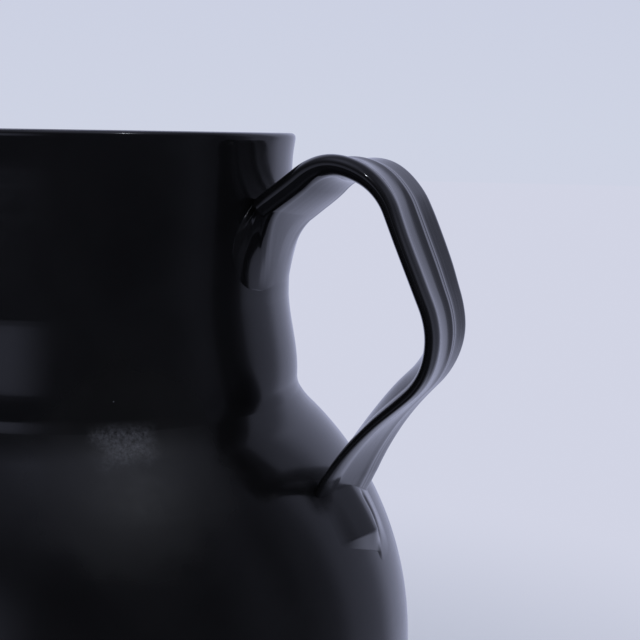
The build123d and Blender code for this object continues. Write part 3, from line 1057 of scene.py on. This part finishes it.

# %% [markdown]
# ## The black glaze
#
# The glaze is an iron-rich slip, almost black, with a satin gloss: most of what the eye sees on it
# is the room. So the colour stays plain and dark, and the care goes into roughness and bump. Slow
# patches change the roughness a little, a fine ripple breaks the reflections, and rare pits and
# pale specks are scattered over it. The handle came out of the kiln glossier than the body. The
# shoulder has a matt bloom with a pale grainy patch in it, a painted highlight. The corner beside the
# tongue is duller with a dimmed reflection, painted shade for the hollow there, and the tongue's cut
# is painted paler, a painted highlight.

# %% Fire the glaze
def fresh_nodes(owner):
    """Clears the nodes of a material or world and gives its tree."""
    owner.use_nodes = True
    owner.node_tree.nodes.clear()
    return owner.node_tree


def mix_colour(tree, share, first, second):
    """A colour between two others."""
    return out(tree, "ShaderNodeMix", {0: share, 6: first, 7: second}, 2, data_type="RGBA")


def spot(where, centre, outer, inner):
    """1 within the inner distance of a centre in mm, 0 past the outer one."""
    centre = tuple(value * mm for value in centre)
    away = calc_vector(where.tree, "DISTANCE", where, centre, output="Value")
    return fit(away, outer * mm, inner * mm)


def length_of(vector):
    """The length of a vector."""
    return calc_vector(vector.tree, "LENGTH", vector, output="Value")


tree = fresh_nodes(glaze)
coat_patches = placed(tree, patches, Size=0.03, Sharpness=0.35)
small_patches = placed(tree, patches, Size=0.006, Sharpness=0.2)
specks = placed(tree, pits, Spacing=0.009, Pit_radius=0.00022, Share=0.3)
pinholes = placed(tree, pits, Spacing=0.007, Pit_radius=0.0003, Share=0.2)
where = on_clay(tree)
place_up = split(where)[2]
# Noise moves the place that each spot reads, so that the spots are ragged
ragged = out(tree, "ShaderNodeTexNoise", {"Vector": where, "Scale": 130.0, "Detail": 3.0}, "Color")
jitter = calc_vector(tree, "SCALE", calc_vector(tree, "SUBTRACT", ragged, (0.5, 0.5, 0.5)), scale=12 * mm)
torn = calc_vector(tree, "ADD", where, jitter)
less_torn = calc_vector(tree, "ADD", where, calc_vector(tree, "SCALE", jitter, scale=0.4))
bloom = spot(torn, (46, -57, 156), 34, 20)
# A pale grainy patch on the shoulder below the collar: a painted highlight
painted_sheen = spot(torn, (40, -51, 162.5), 12, 3) * fit(place_up, 168 * mm, 164.5 * mm, smooth=False)
painted_sheen_grain = fit(noise(tree, Vector=where, Scale=900.0, Detail=3.0, Roughness=0.8), 0.3, 0.8, smooth=False)
# Painted shade: a duller spot with a dimmed reflection in the hollow beside the tongue
painted_hollow_shade = spot(less_torn, (81.4, -15.6, 143), 7.5, 2.5)
# The handle: what stands off the neck's face, above the shoulder
off_axis = length_of(calc_vector(tree, "MULTIPLY", where, (1, 1, 0)))
on_handle = fit(off_axis, 62.6 * mm, 63.6 * mm, smooth=False)
on_handle = on_handle * fit(place_up, 180 * mm, 200 * mm, smooth=False)
# How much paler the tongue's cut is painted: a painted highlight
cut_highlight = out(tree, "ShaderNodeAttribute", output="Fac", attribute_name="painted_cut_highlight")

colour = mix_colour(tree, coat_patches, (0.0042, 0.0042, 0.0048, 1), (0.0062, 0.0062, 0.0072, 1))
colour = mix_colour(tree, specks, colour, (0.08, 0.085, 0.1, 1))
# Painted highlight: the pale grainy patch on the shoulder
colour = mix_colour(tree, painted_sheen * painted_sheen_grain, colour, (0.072, 0.074, 0.09, 1))
# Painted highlight: the tongue's cut painted paler
colour = mix_colour(tree, cut_highlight, colour, (0.12, 0.122, 0.145, 1))
roughness = 0.115 + coat_patches * 0.05 - on_handle * 0.075 + bloom * 0.27
roughness = roughness + small_patches * 0.03 + specks * 0.3 + painted_hollow_shade * 0.2
ripple = noise(tree, Vector=where, Scale=260.0, Detail=2.0)
grain = noise(tree, Vector=where, Scale=1500.0, Detail=1.0)
surface = ripple + grain * (0.12 + (bloom * 0.5 + small_patches * 0.15)) - pinholes * 2.0
add_node(tree, "ShaderNodeOutputMaterial", {"Surface": out(tree, "ShaderNodeBsdfPrincipled", {
    "Base Color": colour, "Roughness": roughness, "IOR": 1.5, "Specular IOR Level": 0.5 - painted_hollow_shade * 0.4,
    "Normal": out(tree, "ShaderNodeBump", {"Height": surface, "Strength": 1.0, "Distance": 0.006 * mm}),
})})
print("glaze:", len(tree.nodes), "nodes")

# %% [markdown]
# ## The bare foot
#
# The foot ring shows the dark stoneware itself: matt, faintly grainy, a little paler where it has
# been dragged over tables.

# %% Leave the foot bare
tree = fresh_nodes(foot_clay)
clay_patches = placed(tree, patches, Size=0.012, Sharpness=0.3)
clay_pits = placed(tree, pits, Spacing=0.002, Pit_radius=0.0003, Share=0.4)
where = on_clay(tree)
worn = fit(split(where)[2], 1.2 * mm, 0.0, smooth=False)
clay = mix_colour(tree, clay_patches, (0.05, 0.044, 0.041, 1), (0.075, 0.063, 0.056, 1))
clay = mix_colour(tree, worn * 0.6, clay, (0.15, 0.13, 0.12, 1))
sand = noise(tree, Vector=where, Scale=1600.0, Detail=3.0) - clay_pits * 0.8
add_node(tree, "ShaderNodeOutputMaterial", {"Surface": out(tree, "ShaderNodeBsdfPrincipled", {
    "Base Color": mix_colour(tree, clay_pits, clay, (0.02, 0.018, 0.018, 1)), "Roughness": 0.86 - worn * 0.25,
    "Normal": out(tree, "ShaderNodeBump", {"Height": sand, "Strength": 0.8, "Distance": 0.08 * mm}),
})})
print("foot clay:", len(tree.nodes), "nodes")

# %% [markdown]
# ## The camera
#
# The camera stands about 38 cm from the jug, close for its size, so the perspective is strong. It
# stands level with the lip and tips down by 8.7 degrees, and the jug is turned so that its handle
# comes 20 degrees towards the camera.

# %% Set up the camera
handle_turn = radians(20)
turned = Matrix.Rotation(handle_turn, 4, "Z")
focal_pixels, picture_pixels, sensor = 1232, 640, 36
tip_down, roll_over = radians(8.69), radians(0.89)
from_lip = Vector((71.4 * mm, -376.2 * mm, 0.54 * mm))
camera_data = bpy.data.cameras.new("close_camera")
camera_data.lens = focal_pixels / picture_pixels * sensor
camera_data.sensor_width = sensor
camera = show("close_camera", camera_data)
camera_place = turned @ from_lip + Vector((0, 0, jug_height))
camera_aim = turned @ Matrix.Rotation(pi / 2 - tip_down, 4, "X") @ Matrix.Rotation(roll_over, 4, "Z")
camera.matrix_world = Matrix.Translation(camera_place) @ camera_aim
bpy.context.scene.camera = camera
print("camera at", [round(value / mm, 1) for value in camera_place])

# %% [markdown]
# ## The room around the jug
#
# A black gloss shows the room more than itself. Here the room is a pale backdrop behind the jug, a
# grey side wall to the right, a pale screen on the left behind the camera, a soft light overhead and
# a dark front where the camera stands. The world paints that room by direction for the reflections.
# The camera itself sees the pale backdrop all round, and matt surfaces get one plain soft light.

# %% Paint the room
world = bpy.data.worlds.new("studio")
bpy.context.scene.world = world
room = fresh_nodes(world)


def before_turn(vector):
    """A place or direction as it was before the jug was turned towards the camera."""
    inputs = {"Vector": vector, "Angle": -handle_turn}
    return out(vector.tree, "ShaderNodeVectorRotate", inputs, rotation_type="Z_AXIS")


def ramp(value, stops):
    """A colour ramp with stops of place and colour."""
    node = add_node(value.tree, "ShaderNodeValToRGB", {0: value})
    elements = node.color_ramp.elements
    for number, (place, colour) in enumerate(stops):
        element = elements[number] if number < 2 else elements.new(place)
        element.position, element.color = place, colour
    return Flow(value.tree, node.outputs[0])


def paint(level, tint=(0.86, 0.91, 1.25)):
    """A level as the cool colour of the studio's paper."""
    return (*(level * part for part in tint), 1)


def ray_kinds(tree):
    """Whether a ray comes straight from the camera, and whether it was mirrored by a gloss."""
    return [out(tree, "ShaderNodeLightPath", output=name) for name in ("Is Camera Ray", "Is Glossy Ray")]


# Levels round the room, by degrees to the right of straight behind the jug
wall_levels = (
    (-180, 0.022), (-95, 0.022), (-70, 0.1), (-47, 0.5), (-42, 0.66), (0, 0.66), (42, 0.66), (47, 0.5),
    (52, 0.34), (70, 0.33), (78, 0.14), (95, 0.05), (108, 0.09), (125, 0.03), (180, 0.022),
)


def walls_at(azimuth):
    """The colour of the walls at an angle from straight behind the jug."""
    stops = [((degrees + 180) / 360, paint(level)) for degrees, level in wall_levels]
    return ramp(azimuth / (2 * pi) + 0.5, stops)


looking = before_turn(out(room, "ShaderNodeTexCoord", output="Generated"))
rightward, backward, upward = split(looking)
azimuth = rightward.math("ARCTAN2", backward)
# A pale screen on the left, behind the camera: the strap's near edge and the ear face it
screen_turn, screen_height, screen_level = radians(142), 0.1, 0.45
screen_side = fit(abs(azimuth + screen_turn), radians(34), radians(4))
screen_share = screen_side * fit(abs(upward - screen_height), 0.6, 0.1)
walls = mix_colour(room, screen_share, walls_at(azimuth), paint(screen_level))
overhead = ramp(upward.math("ARCSINE") / (pi / 2), [(place, paint(level)) for place, level in (
    (0.0, 0.06), (0.35, 0.08), (0.55, 0.14), (0.7, 0.22), (0.84, 0.46), (1.0, 0.7),
)])
ceiling_start, ceiling_full = radians(28), radians(66)
ceiling_share = fit(upward, sin(ceiling_start), sin(ceiling_full))
# One soft box high on the right, in front of the jug
box_height, box_turn = radians(63), radians(138)
box_edge, box_core, box_level = radians(11), radians(6), 0.3
box_way = Vector((cos(box_height) * sin(box_turn), cos(box_height) * cos(box_turn), sin(box_height)))
towards_box = calc_vector(room, "DOT_PRODUCT", looking, box_way, output="Value")
in_box = fit(towards_box, cos(box_edge), cos(box_core), top=box_level)
box_light = calc_vector(room, "SCALE", (0.92, 0.96, 1.15), scale=in_box)
reflected = calc_vector(room, "ADD", mix_colour(room, ceiling_share, walls, overhead), box_light)
backdrop_foot = (0.64, 0.66, 0.78, 1)
seen = ramp(upward * 0.5 + 0.5, [
    (0.0, (0.62, 0.65, 0.76, 1)), (0.4, backdrop_foot), (0.5, (0.62, 0.655, 0.775, 1)),
    (0.62, (0.58, 0.61, 0.75, 1)), (1.0, (0.56, 0.6, 0.74, 1)),
])
plain_light = (0.62, 0.635, 0.68, 1)
camera_ray, glossy_ray = ray_kinds(room)
shown = mix_colour(room, camera_ray, mix_colour(room, glossy_ray, plain_light, reflected), seen)
background = out(room, "ShaderNodeBackground", {"Color": shown, "Strength": 1.0})
add_node(room, "ShaderNodeOutputWorld", {"Surface": background})
print("room:", len(room.nodes), "nodes")

# %% [markdown]
# ## A small lamp
#
# In the middle of the soft box, seen from the shoulder, hangs one small bright lamp aimed at the
# handle. It gives the sharp glints along the strap's near edge and on the ear.

# %% Hang the lamp
lamp_data = bpy.data.lights.new("small_lamp", "AREA")
lamp_data.size, lamp_data.energy, lamp_data.color = 0.045, 0.8, (0.86, 0.91, 1.0)
lamp = show("small_lamp", lamp_data)
shoulder_point, crest_point = Vector((22 * mm, -63 * mm, 162 * mm)), Vector((80 * mm, 0, 200 * mm))
lamp_distance = 1.4
lamp_place = turned @ (shoulder_point + box_way * lamp_distance)
lamp_aim = (crest_point - lamp_place).to_track_quat("-Z", "Y").to_matrix().to_4x4()
lamp.matrix_world = Matrix.Translation(lamp_place) @ lamp_aim
print("lamp at", [round(value, 2) for value in lamp_place])

# %% [markdown]
# ## The floor
#
# A wide pale disc whose colour runs into the backdrop. Near the jug it is matt and keeps the jug's
# shadow; further out the camera sees it as plain as the backdrop behind it. In the glaze it shows a
# painted reflection: it glows pale behind the jug and dark towards the dark front of the room.

# %% Lay the floor
floor_reach, floor_steps = 6.0, 96
paint_start, paint_end = 0.15, 0.45  # from the axis: between them the floor turns as plain as the backdrop
floor_turns = [2 * pi * step / floor_steps for step in range(floor_steps)]
floor_points = [(floor_reach * cos(angle), floor_reach * sin(angle), 0) for angle in floor_turns]
floor_faces = [(floor_steps, step, (step + 1) % floor_steps) for step in range(floor_steps)]
floor = show("studio_floor", plain_mesh("studio_floor", floor_points + [(0, 0, 0)], faces=floor_faces))
floor_paint = bpy.data.materials.new("floor_paint")
tree = fresh_nodes(floor_paint)
matt = out(tree, "ShaderNodeBsdfPrincipled", {
    "Base Color": (0.8, 0.83, 0.94, 1), "Roughness": 0.9, "Specular IOR Level": 0.1,
})
where = on_clay(tree)
from_axis = length_of(where)
camera_ray, glossy_ray = ray_kinds(tree)
pale = out(tree, "ShaderNodeEmission", {"Color": backdrop_foot, "Strength": 1.0})
to_camera = out(tree, "ShaderNodeMixShader", {
    0: fit(from_axis, paint_start, paint_end) * camera_ray, 1: matt, 2: pale,
})
floor_right, floor_back, _ = split(before_turn(where))
floor_azimuth = floor_right.math("ARCTAN2", floor_back)
# The painted pale ground in the glaze reaches further round close to the jug than far off
pale_reach, least_distance = 0.085, 0.1
nearness = pale_reach / from_axis.math("MAXIMUM", least_distance)
floor_azimuth = (floor_azimuth - nearness).math("MAXIMUM", floor_azimuth.math("MINIMUM", 0))
# Painted reflection: in glossy rays the floor glows with the room's levels, pale behind the jug, dark in
# front
mirrored = out(tree, "ShaderNodeEmission", {"Color": walls_at(floor_azimuth), "Strength": 1.0})
to_gloss = out(tree, "ShaderNodeMixShader", {0: glossy_ray, 1: to_camera, 2: mirrored})
add_node(tree, "ShaderNodeOutputMaterial", {"Surface": to_gloss})
floor.data.materials.append(floor_paint)
print("floor:", len(floor_faces), "faces,", len(tree.nodes), "nodes")

# %% [markdown]
# ## Finish
#
# The view transform is set to Standard.

# %% Finish
bpy.context.scene.view_settings.view_transform = "Standard"
